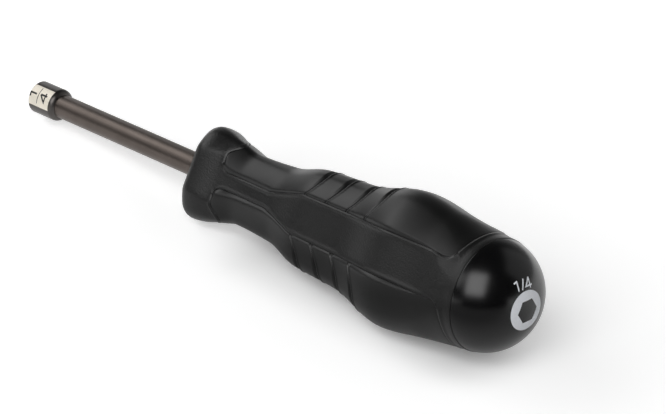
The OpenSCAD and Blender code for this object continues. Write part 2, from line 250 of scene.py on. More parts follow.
def slab(face, underside, wrap_cols=False):
    """Points and faces of a closed slab between two grids of points."""
    n, m = face.shape[:2]
    count = n * m
    points = np.concatenate([face.reshape(-1, 3), underside.reshape(-1, 3)])
    faces = [quads(n, m, 0, False, wrap_cols), quads(n, m, count, False, wrap_cols)[:, ::-1]]
    index = np.arange(count).reshape(n, m)
    edges = [index[0], index[-1]] + ([] if wrap_cols else [index[:, 0], index[:, -1]])
    for edge in edges:
        loop = np.append(edge, edge[0]) if wrap_cols else edge
        faces.append(np.stack([loop[:-1], loop[1:], loop[1:] + count, loop[:-1] + count], axis=1))
    return points, np.concatenate(faces)


def add_piece(name, parts, material, replaces=(), crease=CREASE):
    """Makes one object from (points, faces) parts, smooth but for edges sharper than crease degrees."""
    shape = bmesh.new()
    for points, faces in parts:
        corners = [shape.verts.new(p) for p in points.reshape(-1, 3)]
        for face in faces:
            shape.faces.new([corners[k] for k in face])
    bmesh.ops.remove_doubles(shape, verts=shape.verts, dist=WELD)
    bmesh.ops.recalc_face_normals(shape, faces=shape.faces)
    mesh = bpy.data.meshes.new(name)
    shape.to_mesh(mesh)
    shape.free()
    mesh.polygons.foreach_set("use_smooth", [True] * len(mesh.polygons))
    mesh.set_sharp_from_angle(angle=math.radians(crease))
    mesh.materials.append(material)
    piece = bpy.data.objects.new(name, mesh)
    bpy.context.scene.collection.objects.link(piece)
    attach(piece, BODY)
    if replaces:
        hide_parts(*replaces)
    return piece


# Materials


def add_node(tree, kind, settings=None, links=None):
    """Adds one node: settings fill its properties and inputs, links feed its inputs."""
    made = tree.nodes.new(kind)
    for key, value in (settings or {}).items():
        if isinstance(key, int) or key in made.inputs:
            made.inputs[key].default_value = value
        else:
            setattr(made, key, value)
    for key, source in (links or {}).items():
        tree.links.new(source, made.inputs[key])
    return made


def start_material(name, settings):
    """A new material: returns it, its tree, its surface shader and coordinates in metres."""
    material = bpy.data.materials.new(name)
    material.use_nodes = True
    tree = material.node_tree
    tree.nodes.clear()
    shader = add_node(tree, "ShaderNodeBsdfPrincipled", settings)
    add_node(tree, "ShaderNodeOutputMaterial", links={"Surface": shader.outputs["BSDF"]})
    where = add_node(tree, "ShaderNodeTexCoord").outputs["Object"]
    return material, tree, shader, where


def per_metre(size_mm):
    """Pattern scale whose features are about size_mm across."""
    return 1 / (size_mm * MM)


def rgba(colour):
    """A colour with full alpha, as sockets take it."""
    return (*colour, 1.0)


def shade(colour, factor):
    """A colour made darker or lighter."""
    return rgba(min(1.0, c * factor) for c in colour)


# Nearly all of a noise texture lies between these two values
NOISE_LOW, NOISE_HIGH = 0.25, 0.75


def vary_surface(tree, shader, rough, tint=None, bump=None):
    """Lets patterns vary a surface.

    rough holds a pattern and two roughnesses, tint a pattern and two colours, and bump a pattern, its
    strength and its depth in millimetres.
    """
    pattern, low, high = rough
    spread = {"From Min": NOISE_LOW, "From Max": NOISE_HIGH, "To Min": low, "To Max": high}
    made = add_node(tree, "ShaderNodeMapRange", spread, {"Value": pattern.outputs["Fac"]})
    tree.links.new(made.outputs["Result"], shader.inputs["Roughness"])
    if tint:
        pattern, dark, light = tint
        ends = {"data_type": "RGBA", 6: dark, 7: light}
        made = add_node(tree, "ShaderNodeMix", ends, {"Factor": pattern.outputs["Fac"]})
        tree.links.new(made.outputs[2], shader.inputs["Base Color"])
    if bump:
        pattern, strength, depth = bump
        height = {"Strength": strength, "Distance": depth * MM}
        made = add_node(tree, "ShaderNodeBump", height, {"Height": pattern.outputs["Fac"]})
        tree.links.new(made.outputs["Normal"], shader.inputs["Normal"])


def moulded_polypropylene(colour):
    """Polypropylene from a spark-eroded mould: an even grain, satin, rubbed a little smoother in places."""
    material, tree, shader, where = start_material("polypropylene_spark_grain", {"IOR": 1.49})
    # The grain is about 0.1 mm; it is drawn at 0.45 mm, which is a pixel or more
    fine = {"Scale": per_metre(0.45), "Detail": 2.0}
    broad = {"Scale": per_metre(14), "Detail": 3.0}
    grain = add_node(tree, "ShaderNodeTexNoise", fine, {"Vector": where})
    rubbed = add_node(tree, "ShaderNodeTexNoise", broad, {"Vector": where})
    tint = (grain, shade(colour, 0.5), shade(colour, 1.5))
    vary_surface(tree, shader, (rubbed, 0.34, 0.43), tint, (grain, 1.0, 0.065))
    return material


def moulded_rubber(colour):
    """Thermoplastic rubber from a smooth mould: soft broad sheen with faint handling marks."""
    material, tree, shader, where = start_material("thermoplastic_rubber_moulded", {"IOR": 1.5})
    # The mould's own grain is finer than 0.1 mm; it is drawn at 0.5 mm so that it shows
    fine = {"Scale": per_metre(0.5), "Detail": 2.0}
    broad = {"Scale": per_metre(9), "Detail": 4.0}
    grain = add_node(tree, "ShaderNodeTexNoise", fine, {"Vector": where})
    handled = add_node(tree, "ShaderNodeTexNoise", broad, {"Vector": where})
    tint = (handled, shade(colour, 0.85), shade(colour, 1.15))
    vary_surface(tree, shader, (handled, 0.36, 0.44), tint, (grain, 0.15, 0.02))
    return material


def polished_resin(colour):
    """Cellulose resin from a polished mould: deep black gloss with a trace of orange peel and scuffs."""
    settings = {"Base Color": rgba(colour), "IOR": 1.48}
    material, tree, shader, where = start_material("cellulose_resin_polished", settings)
    fine = {"Scale": per_metre(2.5), "Detail": 1.0}
    broad = {"Scale": per_metre(6), "Detail": 5.0}
    peel = add_node(tree, "ShaderNodeTexNoise", fine, {"Vector": where})
    scuffs = add_node(tree, "ShaderNodeTexNoise", broad, {"Vector": where})
    vary_surface(tree, shader, (scuffs, 0.2, 0.26), bump=(peel, 0.1, 0.01))
    return material


def turned_black_oxide(colour):
    """Turned steel with black oxide: dark grey metal, faint tool rings, a little uneven."""
    material, tree, shader, where = start_material("steel_turned_black_oxide", {"Metallic": 1.0})
    # Tool marks are about 0.1 mm apart; they are drawn at 0.5 mm so that they show. A wave texture has
    # 20 / (2 pi) rings per unit of its scale, and half a ring is one mark
    waves = {"bands_direction": "X", "Scale": per_metre(0.5) / 20 * math.pi, "Distortion": 1.0}
    broad = {"Scale": per_metre(1.5), "Detail": 4.0}
    rings = add_node(tree, "ShaderNodeTexWave", waves, {"Vector": where})
    cloud = add_node(tree, "ShaderNodeTexNoise", broad, {"Vector": where})
    tint = (cloud, shade(colour, 0.75), shade(colour, 1.25))
    vary_surface(tree, shader, (cloud, 0.3, 0.42), tint, (rings, 0.2, 0.01))
    return material


def drawn_tube_oxide(colour):
    """Drawn steel tube with a warm oxide: brown-black metal with long fine draw lines."""
    material, tree, shader, where = start_material("steel_drawn_tube_oxide", {"Metallic": 1.0})
    # Draw lines are stretched along the tube: 25 mm long and 0.4 mm wide, coarser than real ones so that
    # they show
    stretch = {"Scale": (per_metre(25), per_metre(0.4), per_metre(0.4))}
    along = add_node(tree, "ShaderNodeMapping", stretch, {"Vector": where}).outputs["Vector"]
    lines = add_node(tree, "ShaderNodeTexNoise", {"Scale": 1.0, "Detail": 3.0}, {"Vector": along})
    broad = {"Scale": per_metre(5), "Detail": 4.0}
    cloud = add_node(tree, "ShaderNodeTexNoise", broad, {"Vector": where})
    tint = (cloud, shade(colour, 0.8), shade(colour, 1.2))
    vary_surface(tree, shader, (lines, 0.34, 0.46), tint, (lines, 0.2, 0.01))
    return material


def turned_steel(colour):
    """Plain turned steel: bright grey with a satin bloom."""
    material, tree, shader, where = start_material("steel_turned_plain", {"Metallic": 1.0})
    fine = {"Scale": per_metre(0.8), "Detail": 3.0}
    cloud = add_node(tree, "ShaderNodeTexNoise", fine, {"Vector": where})
    tint = (cloud, shade(colour, 0.85), shade(colour, 1.1))
    vary_surface(tree, shader, (cloud, 0.3, 0.4), tint)
    return material


def laser_etched_steel(name, colour, rough):
    """Steel whose oxide a laser has burnt off or darkened: matt, with a faint scan grain."""
    material, tree, shader, where = start_material(name, {"Metallic": 0.35})
    # Scan lines are about 0.05 mm apart; they are drawn as a grain of 0.35 mm so that they show
    fine = {"Scale": per_metre(0.35), "Detail": 3.0}
    scan = add_node(tree, "ShaderNodeTexNoise", fine, {"Vector": where})
    tint = (scan, shade(colour, 0.85), shade(colour, 1.1))
    vary_surface(tree, shader, (scan, *rough), tint)
    return material


def screen_ink(colour):
    """Screen-printed ink: flat and slightly chalky, with a faint mesh mottle."""
    material, tree, shader, where = start_material("ink_screen_printed", {"IOR": 1.5})
    # The mesh is about 0.1 mm; its mottle is drawn at 0.4 mm so that it shows
    fine = {"Scale": per_metre(0.4), "Detail": 2.0}
    mottle = add_node(tree, "ShaderNodeTexNoise", fine, {"Vector": where})
    tint = (mottle, shade(colour, 0.93), shade(colour, 1.05))
    vary_surface(tree, shader, (mottle, 0.45, 0.6), tint)
    return material


# What a user may change


class NutDriverSizes(PropertyGroup):
    """Sizes of the grooves and of the marks"""
    groove_depth: FloatProperty(
        name="Groove depth", description="Depth of a cross groove on the ridge of a lobe",
        default=1.1 * MM, min=0.2 * MM, max=1.2 * MM, unit="LENGTH", precision=5)
    groove_pitch: FloatProperty(
        name="Groove pitch", description="Distance between the cross grooves",
        default=8.0 * MM, min=7.0 * MM, max=8.6 * MM, unit="LENGTH", precision=5)
    groove_lip: FloatProperty(
        name="Groove lip", description="Height of the rounded lip behind a groove",
        default=0.18 * MM, min=0.0, max=0.2 * MM, unit="LENGTH", precision=5)
    print_ring: FloatProperty(
        name="Printed ring", description="Radius of the ring printed on the butt",
        default=5.4 * MM, min=3.0 * MM, max=8.0 * MM, unit="LENGTH", precision=5)
    print_stroke: FloatProperty(
        name="Printed stroke", description="Line width of the size printed on the butt",
        default=0.38 * MM, min=0.2 * MM, max=0.8 * MM, unit="LENGTH", precision=5)
    etch_stroke: FloatProperty(
        name="Etched stroke", description="Line width of the size etched on the socket",
        default=0.5 * MM, min=0.2 * MM, max=0.8 * MM, unit="LENGTH", precision=5)


class NutDriverColours(PropertyGroup):
    """Colours of the pieces, the marks and the floor"""
    shell: FloatVectorProperty(
        name="Shell", description="Polypropylene of the shell", subtype="COLOR", default=to_linear("#0c0c0c"))
    pads: FloatVectorProperty(
        name="Pads", description="Rubber of the grip pads", subtype="COLOR", default=to_linear("#080808"))
    butt: FloatVectorProperty(
        name="Butt", description="Resin of the domed butt", subtype="COLOR", default=to_linear("#060607"))
    socket: FloatVectorProperty(
        name="Socket", description="Black oxide of the socket", subtype="COLOR", default=to_linear("#575452"))
    shaft: FloatVectorProperty(
        name="Shaft", description="Warm oxide of the tube", subtype="COLOR", default=to_linear("#635b56"))
    plug: FloatVectorProperty(
        name="Plug", description="Steel of the plug", subtype="COLOR", default=to_linear("#8d8f92"))
    etch: FloatVectorProperty(
        name="Etched patch", description="Bare steel of the etched patch", subtype="COLOR",
        default=to_linear("#fff2e4"))
    etch_digits: FloatVectorProperty(
        name="Etched digits", description="Dark digits in the etched patch", subtype="COLOR",
        default=to_linear("#303030"))
    ink: FloatVectorProperty(
        name="Ink", description="Ink printed on the butt", subtype="COLOR", default=to_linear("#eceff4"))
    floor: FloatVectorProperty(
        name="Floor", description="Paint of the floor", subtype="COLOR", default=to_linear("#f2f2f2"))


# Shell

NOSE_ROWS = 17
COLLAR_ROWS = 16
POCKET_ROWS = 130
TAIL_ROWS = 12
STRIP_COLS = 8
POCKET_COLS = 24
INNER_CHAMFER = 0.3
REAR_ROUND = 0.12


def shell_grid():
    """Rings of the shell's outside, front to rear, as one grid of points."""
    reach = -RIM[0, 0]
    nose = COLLAR_AT * (1 - np.cos(np.linspace(0, UP, NOSE_ROWS)))
    collar = np.linspace(COLLAR_AT, POCKET_FRONT - reach, COLLAR_ROWS)[1:-1]
    floor = np.linspace(POCKET_FRONT + RIM[-1, 0], POCKET_REAR - RIM[-1, 0], POCKET_ROWS)[1:-1]
    tail = np.linspace(POCKET_REAR + reach, SHELL_END - REAR_ROUND, TAIL_ROWS)[1:]
    front_rim, rear_rim = POCKET_FRONT + RIM[:, 0], POCKET_REAR - RIM[::-1, 0]
    h = np.concatenate([nose, collar, front_rim, floor, rear_rim, tail])
    inside_rows = np.minimum(h - POCKET_FRONT, POCKET_REAR - h)
    edge = pocket_angle(h)
    lobe = radii(h)[0]
    strip_edge = edge + reach / lobe
    floor_edge = edge - RIM[-1, 0] / lobe
    half, inside_cols = [], []
    for k in range(STRIP_COLS):
        half.append(THIRD + (strip_edge - THIRD) * k / STRIP_COLS)
        inside_cols.append(RIM[0, 0])
    for inside, _ in RIM:
        half.append(edge - inside / lobe)
        inside_cols.append(inside)
    for k in range(1, POCKET_COLS // 2):
        half.append(floor_edge * (1 - 2 * k / POCKET_COLS))
        inside_cols.append(RIM[-1, 0])
    a = np.stack([-x for x in half] + [np.zeros_like(h)] + half[:0:-1], axis=1)
    inside_cols = np.array(inside_cols + [RIM[-1, 0]] + inside_cols[:0:-1])
    back = h[:, None] - bow(h[:, None], np.minimum(np.abs(a) / edge[:, None], 1))
    depth = np.interp(np.minimum(inside_rows[:, None], inside_cols[None, :]), RIM[:, 0], RIM[:, 1])
    r = skin(back, a) - depth
    return np.concatenate([place(back, a, r, turn) for turn in LOBES.values()], axis=1)


def shell_parts():
    """The shell as one closed skin: outside, rounded rear edge, six-sided inside, round hole in front."""
    outside = shell_grid()
    columns = outside.shape[1]
    last = outside[-1]
    radius = np.hypot(last[:, 1], last[:, 2]) / MM
    angle = np.arctan2(last[:, 2], last[:, 1]) - UP
    middle = ROUND_MIDDLE * REAR_ROUND
    rounding = [
        place(np.full(columns, SHELL_END - middle), angle, radius - middle),
        place(np.full(columns, SHELL_END), angle, radius - REAR_ROUND),
    ]
    a = np.linspace(0, 2 * math.pi, columns, endpoint=False) - THIRD
    hexagon = CORE_FLAT / np.cos((a + THIRD / 2) % THIRD - THIRD / 2)
    profile = (
        (SHELL_END, hexagon),
        (FRONT_WALL, hexagon),
        (FRONT_WALL, HOLE_R),
        (INNER_CHAMFER, HOLE_R),
        (0.0, HOLE_R + INNER_CHAMFER),
    )
    inside = [place(np.full(columns, h), a, r) for h, r in profile]
    grid = np.concatenate([outside, np.stack(rounding + inside)])
    n, m = grid.shape[:2]
    return [(grid, quads(n, m, 0, True, True))]


class NUTDRIVER_OT_mould_shell(Operator):
    """Moulds the shell: collar, three flat strips with pockets between them, and rear ring"""
    bl_idname = "nut_driver.mould_shell"
    bl_label = "Mould the shell"

    def execute(self, context):
        material = moulded_polypropylene(context.scene.nut_driver_colours.shell)
        add_piece("handle_shell_moulding", shell_parts(), material, ("handle_shell",))
        return {"FINISHED"}


# Pads

PAD_COLS = 44
# Spacing of a pad's rings, how far they keep from its edges, and their spacing round each groove
PAD_ROW = 0.8
PAD_ROW_CLEAR = (0.6, 0.3)
GROOVE_ROW = 0.12
GROOVE_SPAN = (-1.9, 1.7)
ROW_LEAST = 0.02
# Grooves: how their depth fades towards the sides of a pad and what is left of it there, lengths of the
# front and rear slopes at the sides and what the ridge adds to them, place and width of the lip
GROOVE_FADE = 1.3
GROOVE_LEAST = 0.28
FRONT_SLOPE = (0.4, 0.9)
REAR_SLOPE = (0.3, 0.35)
LIP_AT = 0.25
LIP_WIDE = 0.3
# How nearly level a slope is at its two ends
EASE_ENDS = 0.8


def ease(t):
    """A ramp from 0 to 1 with soft ends."""
    return t - EASE_ENDS * np.sin(2 * math.pi * t) / (2 * math.pi)


def groove_drop(h, v, sizes):
    """Depth of the cross grooves at ridge distance h and share v of the way to the pad's side."""
    share = np.clip(1 - v * v, 0, 1) ** GROOVE_FADE
    deep = sizes.groove_depth / MM * (GROOVE_LEAST + (1 - GROOVE_LEAST) * share)
    front_w = FRONT_SLOPE[0] + FRONT_SLOPE[1] * share
    rear_w = REAR_SLOPE[0] + REAR_SLOPE[1] * share
    drop = np.zeros(np.broadcast(h, v).shape)
    for k in range(GROOVES):
        s = h - GROOVE_FIRST - k * sizes.groove_pitch / MM
        front = ease(np.clip(s / front_w + 1, 0, 1))
        rear = ease(np.clip(s / rear_w, 0, 1))
        lip = np.exp(-((s - rear_w - LIP_AT) / LIP_WIDE) ** 2) * (s > 0)
        drop += deep * (front - rear) - sizes.groove_lip / MM * lip
    return drop


def pad_rows(sizes):
    """Ridge distances of a pad's rings: close together at its edges and grooves."""
    front = POCKET_FRONT + PAD_EDGE[-1] + PAD_ROW_CLEAR[0]
    rear = POCKET_REAR - PAD_EDGE[-1] - PAD_ROW_CLEAR[1]
    rows = [POCKET_FRONT + PAD_EDGE, POCKET_REAR - PAD_EDGE, np.arange(front, rear, PAD_ROW)]
    for k in range(GROOVES):
        rows.append(GROOVE_FIRST + k * sizes.groove_pitch / MM + np.arange(*GROOVE_SPAN, GROOVE_ROW))
    rows = np.sort(np.concatenate(rows))
    return rows[np.append(True, np.diff(rows) > ROW_LEAST)]


def pad_parts(turn, sizes):
    """A pad as a closed slab: it stands up to the full lobe, with rolled edges, walls and grooves."""
    h = pad_rows(sizes)
    edge = pocket_angle(h)
    lobe = radii(h)[0]
    inner = edge - PAD_EDGE[-1] / lobe
    half = [edge - inside / lobe for inside in PAD_EDGE]
    for k in range(1, PAD_COLS // 2):
        half.append(inner * (1 - 2 * k / PAD_COLS))
    a = np.stack([-x for x in half] + [np.zeros_like(h)] + half[::-1], axis=1)
    inside_rows = np.minimum(h - POCKET_FRONT, POCKET_REAR - h)
    inside = np.minimum(inside_rows[:, None], (edge[:, None] - np.abs(a)) * lobe[:, None])
    v = a / edge[:, None]
    back = h[:, None] - bow(h[:, None], v)
    crown = lobe_skin(back, a)
    level = skin(back, a)
    proud = crown - level
    t = np.clip((inside - PAD_EDGE[0]) / (ROLL_LEAST + ROLL_SHARE * proud), 0, 1)
    wall = PAD_WALL * (inside < PAD_EDGE[:2].mean())
    drop = (ROLL_DROP * proud + PAD_SINK) * (1 - t) ** 2 + wall + groove_drop(h[:, None], v, sizes)
    drop = np.minimum(drop, proud + PAD_UNDERSIDE - PAD_LEAST)
    face = place(back, a, crown - drop, turn)
    underside = place(back, a, level - PAD_UNDERSIDE, turn)
    return [slab(face, underside)]


class NUTDRIVER_OT_mould_pads(Operator):
    """Moulds the three soft grip pads with their cross grooves"""
    bl_idname = "nut_driver.mould_pads"
    bl_label = "Mould the grip pads"

    def execute(self, context):
        sizes = context.scene.nut_driver_sizes
        material = moulded_rubber(context.scene.nut_driver_colours.pads)
        for side, turn in LOBES.items():
            parts = pad_parts(turn, sizes)
            node = f"grip_pad_{side}"
            add_piece(f"rubber_pad_{side}", parts, material, (node,), PAD_CREASE)
        return {"FINISHED"}


# Butt, steel and marks


def dress(name, material):
    """Gives a CAD node its finish."""
    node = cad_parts[name]
    node.data.materials.clear()
    node.data.materials.append(material)


# Butt: length of its dome as a share of its radius, gap and rounded edge at the seam
DOME_LONG = 0.942
DOME_GAP = 0.05
DOME_ROUND = 0.06
DOME_COLS = 144
DOME_ROWS = 72


def butt_parts():
    """A turned profile: flat back, rounded edge at the seam, slightly flattened dome."""
    back = SHELL_END + DOME_GAP - BUTT_AT
    edge = math.acos(back / DOME_R / DOME_LONG)
    arc = np.linspace(edge - DOME_ROUND / DOME_R, 0, DOME_ROWS)
    wide = DOME_R * math.sin(edge)
    middle = ROUND_MIDDLE * DOME_ROUND
    x = np.concatenate([[back, back, back + middle], DOME_LONG * DOME_R * np.cos(arc)])
    r = np.concatenate([[0.0, wide - DOME_ROUND, wide - middle], DOME_R * np.sin(arc)])
    a = np.linspace(0, 2 * math.pi, DOME_COLS, endpoint=False)
    grid = place(BUTT_AT + x[:, None] + 0 * a, a[None, :], r[:, None])
    return [(grid, quads(len(x), DOME_COLS, 0, False, True))]


class NUTDRIVER_OT_mould_butt(Operator):
    """Moulds the glossy dome that closes the handle"""
    bl_idname = "nut_driver.mould_butt"
    bl_label = "Mould the butt"

    def execute(self, context):
        material = polished_resin(context.scene.nut_driver_colours.butt)
        add_piece("domed_butt", butt_parts(), material, ("handle_core",))
        return {"FINISHED"}


class NUTDRIVER_OT_finish_steel(Operator):
    """Gives the socket, the tube and its plug their finishes"""
    bl_idname = "nut_driver.finish_steel"
    bl_label = "Finish the steel"

    def execute(self, context):
        colours = context.scene.nut_driver_colours
        dress("hex_socket", turned_black_oxide(colours.socket))
        dress("hollow_shaft", drawn_tube_oxide(colours.shaft))
        dress("shaft_plug", turned_steel(colours.plug))
        return {"FINISHED"}


# Strokes of the marks: spacing of their points, least share of a corner's mitre, and how much higher each
# stroke lies than the one before, so that crossing ones don't share a face
STROKE_STEP = 0.12
MITRE_LEAST = 0.35
STACK = 0.004


def stroke(points, width):
    """Left, middle and right lines of a drawn stroke with mitred corners, as a grid in its own plane."""
    corners = np.array(points, float)
    way = np.diff(corners, axis=0)
    length = np.hypot(*way.T)
    normal = np.stack([-way[:, 1], way[:, 0]], axis=1) / length[:, None]
    offset = np.empty_like(corners)
    offset[0], offset[-1] = normal[0], normal[-1]
    for k in range(1, len(corners) - 1):
        both = normal[k - 1] + normal[k]
        offset[k] = both / max(both @ normal[k], MITRE_LEAST)
    rows = []
    for k, run in enumerate(length):
        count = max(2, int(run / STROKE_STEP))
        t = np.linspace(0, 1, count + 1)[:, None]
        if k < len(length) - 1:
            t = t[:-1]
        middle = corners[k] + way[k] * t
        side = offset[k] * (1 - t) + offset[k + 1] * t
        rows.append(np.stack([middle + side * width / 2, middle, middle - side * width / 2], axis=1))
    return np.concatenate(rows)


# Marks on the butt, in its own plane seen from behind: y to the right, z up
PRINT_HEX_R = 3.4
PRINT_LIFT = 0.02
PRINT_SINK = 0.06
RING_COLS = 144
RING_ROWS = 7
PRINTED_SIZE = [
    [(-2.75, 7.85), (-1.8, 8.15), (-2.0, 5.85)],
    [(0.4, 8.25), (-0.85, 5.85)],
    [(2.3, 8.1), (0.55, 6.35), (2.8, 6.2)],
    [(2.3, 8.1), (2.02, 5.6)],
]


def on_dome(flat, lift):
    """Points of the butt's plane carried along X onto its dome, lift above it."""
    r = DOME_R + lift
    y, z = flat[..., 0], flat[..., 1]
    x = HANDLE_FRONT + BUTT_AT + DOME_LONG * np.sqrt(r * r - y * y - z * z)
    return np.stack([x, y, z], axis=-1) * MM


class NUTDRIVER_OT_print_butt(Operator):
    """Prints the ring round a plain hexagon and the size on the butt"""
    bl_idname = "nut_driver.print_butt"
    bl_label = "Print the butt"

    def execute(self, context):
        sizes = context.scene.nut_driver_sizes
        ink = screen_ink(context.scene.nut_driver_colours.ink)
        a = np.linspace(0, 2 * math.pi, RING_COLS, endpoint=False)
        hexagon = PRINT_HEX_R * math.cos(THIRD / 2) / np.cos(a % THIRD - THIRD / 2)
        share = np.linspace(0, 1, RING_ROWS)[:, None]
        r = hexagon + (sizes.print_ring / MM - hexagon) * share
        ring = np.stack([r * np.cos(a), r * np.sin(a)], axis=-1)
        parts = [slab(on_dome(ring, PRINT_LIFT), on_dome(ring, -PRINT_SINK), True)]
        add_piece("printed_ring", parts, ink)
        parts = []
        for k, line in enumerate(PRINTED_SIZE):
            grid = stroke(line, sizes.print_stroke / MM)
            parts.append(slab(on_dome(grid, PRINT_LIFT + STACK * k), on_dome(grid, -PRINT_SINK)))
        add_piece("printed_size", parts, ink)
        return {"FINISHED"}


# Marks on the socket: distances from the mouth, and angles from +Y in degrees. Each stroke of the size
# starts with its share of the line width
ETCH_LIFT = 0.03
ETCH_SINK = 0.08
DIGIT_LIFT = ETCH_LIFT + 0.02
PATCH_ROWS = 24
PATCH_COLS = 60
ETCH_X = (0.42, 8.3)
ETCH_ANGLE = (107.0, 184.0)
ETCHED_SIZE = [
    (1.0, [(0.75, 155.0), (0.6, 140.5), (2.9, 140.5)]),
    (0.4, [(3.72, 113.0), (3.72, 172.5)]),
    (1.0, [(4.5, 136.0), (6.35, 160.0), (6.35, 126.5)]),
    (1.0, [(4.5, 136.0), (7.0, 136.0)]),
]


def on_socket(flat, lift):
    """Points laid round the socket: distance from the mouth and arc length, lift above it."""
    r = SOCKET_R + lift
    angle = flat[..., 1] / SOCKET_R
    return np.stack([flat[..., 0], r * np.cos(angle), r * np.sin(angle)], axis=-1) * MM


class NUTDRIVER_OT_etch_socket(Operator):
    """Etches the pale patch and the size on the socket"""
    bl_idname = "nut_driver.etch_socket"
    bl_label = "Etch the socket"

    def execute(self, context):
        sizes = context.scene.nut_driver_sizes
        colours = context.scene.nut_driver_colours
        pale = laser_etched_steel("steel_laser_etched", colours.etch, (0.45, 0.6))
        dark = laser_etched_steel("steel_laser_darkened", colours.etch_digits, (0.4, 0.55))
        arc = np.radians(np.linspace(*ETCH_ANGLE, PATCH_COLS)) * SOCKET_R
        patch = np.stack(np.meshgrid(np.linspace(*ETCH_X, PATCH_ROWS), arc, indexing="ij"), axis=-1)
        parts = [slab(on_socket(patch, ETCH_LIFT), on_socket(patch, -ETCH_SINK))]
        add_piece("etched_patch", parts, pale)
        parts = []
        for k, (share, line) in enumerate(ETCHED_SIZE):
            flat = [(x, math.radians(angle) * SOCKET_R) for x, angle in line]
            grid = stroke(flat, share * sizes.etch_stroke / MM)
            parts.append(slab(on_socket(grid, DIGIT_LIFT + STACK * k), on_socket(grid, 0.0)))
        add_piece("etched_size", parts, dark)
        return {"FINISHED"}


# Stage

CAMERA_AT = Vector((0.974073, -0.810244, 0.581239))
CAMERA_PAN, CAMERA_TILT, CAMERA_ROLL = 2.384253, 0.454208, -0.022957
CAMERA_SENSOR = 36.0
CAMERA_CLIP = (0.05, 100.0)
# Focal length and width of the picture in pixels
FOCAL_LENGTH, PICTURE_WIDTH = 5025, 666
TOOL_MIDDLE = Vector((0.12, 0.0, 0.0))

# Floor: it slopes along the tool, which rests on its collar and its swell, and is eased to level further out
FLOOR_SLOPE = 0.0672
FLOOR_LEVEL = -0.0111
FLOOR_LEVEL_AT = 0.0737
FLOOR_SLOPED = (-0.12, 0.3)
FLOOR_MIDDLE = 0.09
FLOOR_EASE = (0.2, 0.7)
FLOOR_DROP = 0.004
FLOOR_X = np.linspace(-1, 1, 161)
FLOOR_Y = np.array([-1, -0.3, 0.0, 0.3, 1])
# Far out the floor sweeps up as a backdrop, just past the horizon of a low camera
SWEEP_AT = np.array([3.0, 8.0, 30.0])
SWEEP_RISE = (0.0, 0.5, 2.5)
# White lift of the floor under the handle, round it and far away, and the distances over which it changes
# The lift is least under the handle and grows away from it: a painted shadow of the tool on the floor, on top
# of the shadow that the lamps cast
LIFT_PAINTED_SHADOW, LIFT_ROUND, LIFT_FAR = 0.14, 0.45, 1.05
UNDER_REACH = (0.0, 0.022)
ROUND_REACH = (0.03, 0.3)
UNDER_FROM, UNDER_TO, UNDER_Y = 0.1, 0.168, -0.005

# Black flag that only the gloss sees, partly painted shade: its cover near the butt, a little further and far
# off, with the distances over which it changes, where it ends on the far side, and where it thins towards the
# socket and to what share
# Far off the card stands for a dark studio; its thinner cover near the butt is painted shade, the floor's
# shadow as the gloss shows it
FLAG_BLACK = "#050505"
FLAG_X = np.linspace(-1.2, 1.2, 160)
FLAG_Y = np.linspace(-1.0, 0.6, 60)
FLAG_LIFT = 0.0005
FLAG_FROM = (0.165, 0.0, -0.017)
FLAG_AND_SHADE_COVER = (0.4, 0.75, 1.0)
FLAG_NEAR = (0.0, 0.06)
FLAG_WIDE = (0.06, 0.5)
FLAG_SIDE = (-0.05, 0.06)
FLAG_FRONT = (0.055, 0.095)
FLAG_LEFT = 0.2

# Soft boxes and panels: direction in degrees (0 is -Y, 90 is +X), height above the floor in degrees,
# distance, width and height in metres, radiance where 1 shows as white
LAMPS = {
    "key_softbox": (25, 40, 0.95, 0.92, 0.98, 3.6),
    "left_softbox": (-78, 42, 1.1, 0.75, 0.58, 2.5),
    "front_panel": (-37, 37, 1.1, 1.1, 0.65, 1.35),
    "low_softbox": (-115, 17, 1.1, 0.7, 0.5, 1.6),
    "back_panel": (152, 30, 1.3, 1.9, 1.6, 0.4),
}
# Share of a lamp, from its middle to its side, over which its light fades out
LAMP_EDGE = 0.5
# World: dim all round, and a pale band above the floor on the far left side. The band fades by the cosine of
# the angle from its middle, and by height
WORLD_LIGHT = 0.04
WORLD_BAND = 0.4
BAND_TURN = math.radians(-135)
BAND_SIDE = (0.6, 0.95)
BAND_HEIGHT = (0.75, 0.1)


def soft_ramp(start, end, low=0.0, high=1.0):
    """Settings of a ramp with soft ends, from low at start to high at end."""
    return {
        "interpolation_type": "SMOOTHSTEP",
        "From Min": start, "From Max": end, "To Min": low, "To Max": high,
    }


def floor_height(x):
    """Height of the floor along the tool: sloped under it and eased to level further out."""
    sloped = FLOOR_LEVEL - FLOOR_SLOPE * (np.clip(x, *FLOOR_SLOPED) - FLOOR_LEVEL_AT)
    low = sloped.min() - FLOOR_DROP
    away = np.clip((np.abs(x - FLOOR_MIDDLE) - FLOOR_EASE[0]) / (FLOOR_EASE[1] - FLOOR_EASE[0]), 0, 1)
    return sloped + (low - sloped) * away * away * (3 - 2 * away)


def lay_sheet(name, x, y, lift, material):
    """Lays a sheet along the floor, lift above it, with its sides swept up."""
    gx, gy = np.meshgrid(x, y, indexing="ij")
    sweep = np.interp(np.maximum(np.abs(gx), np.abs(gy)), SWEEP_AT, SWEEP_RISE)
    points = np.stack([gx, gy, floor_height(x)[:, None] + sweep + lift], axis=-1)
    mesh = bpy.data.meshes.new(name)
    mesh.from_pydata(points.reshape(-1, 3).tolist(), [], quads(len(x), len(y))[:, ::-1].tolist())
    mesh.polygons.foreach_set("use_smooth", [True] * len(mesh.polygons))
    mesh.materials.append(material)
    sheet = bpy.data.objects.new(name, mesh)
    bpy.context.scene.collection.objects.link(sheet)
    return sheet


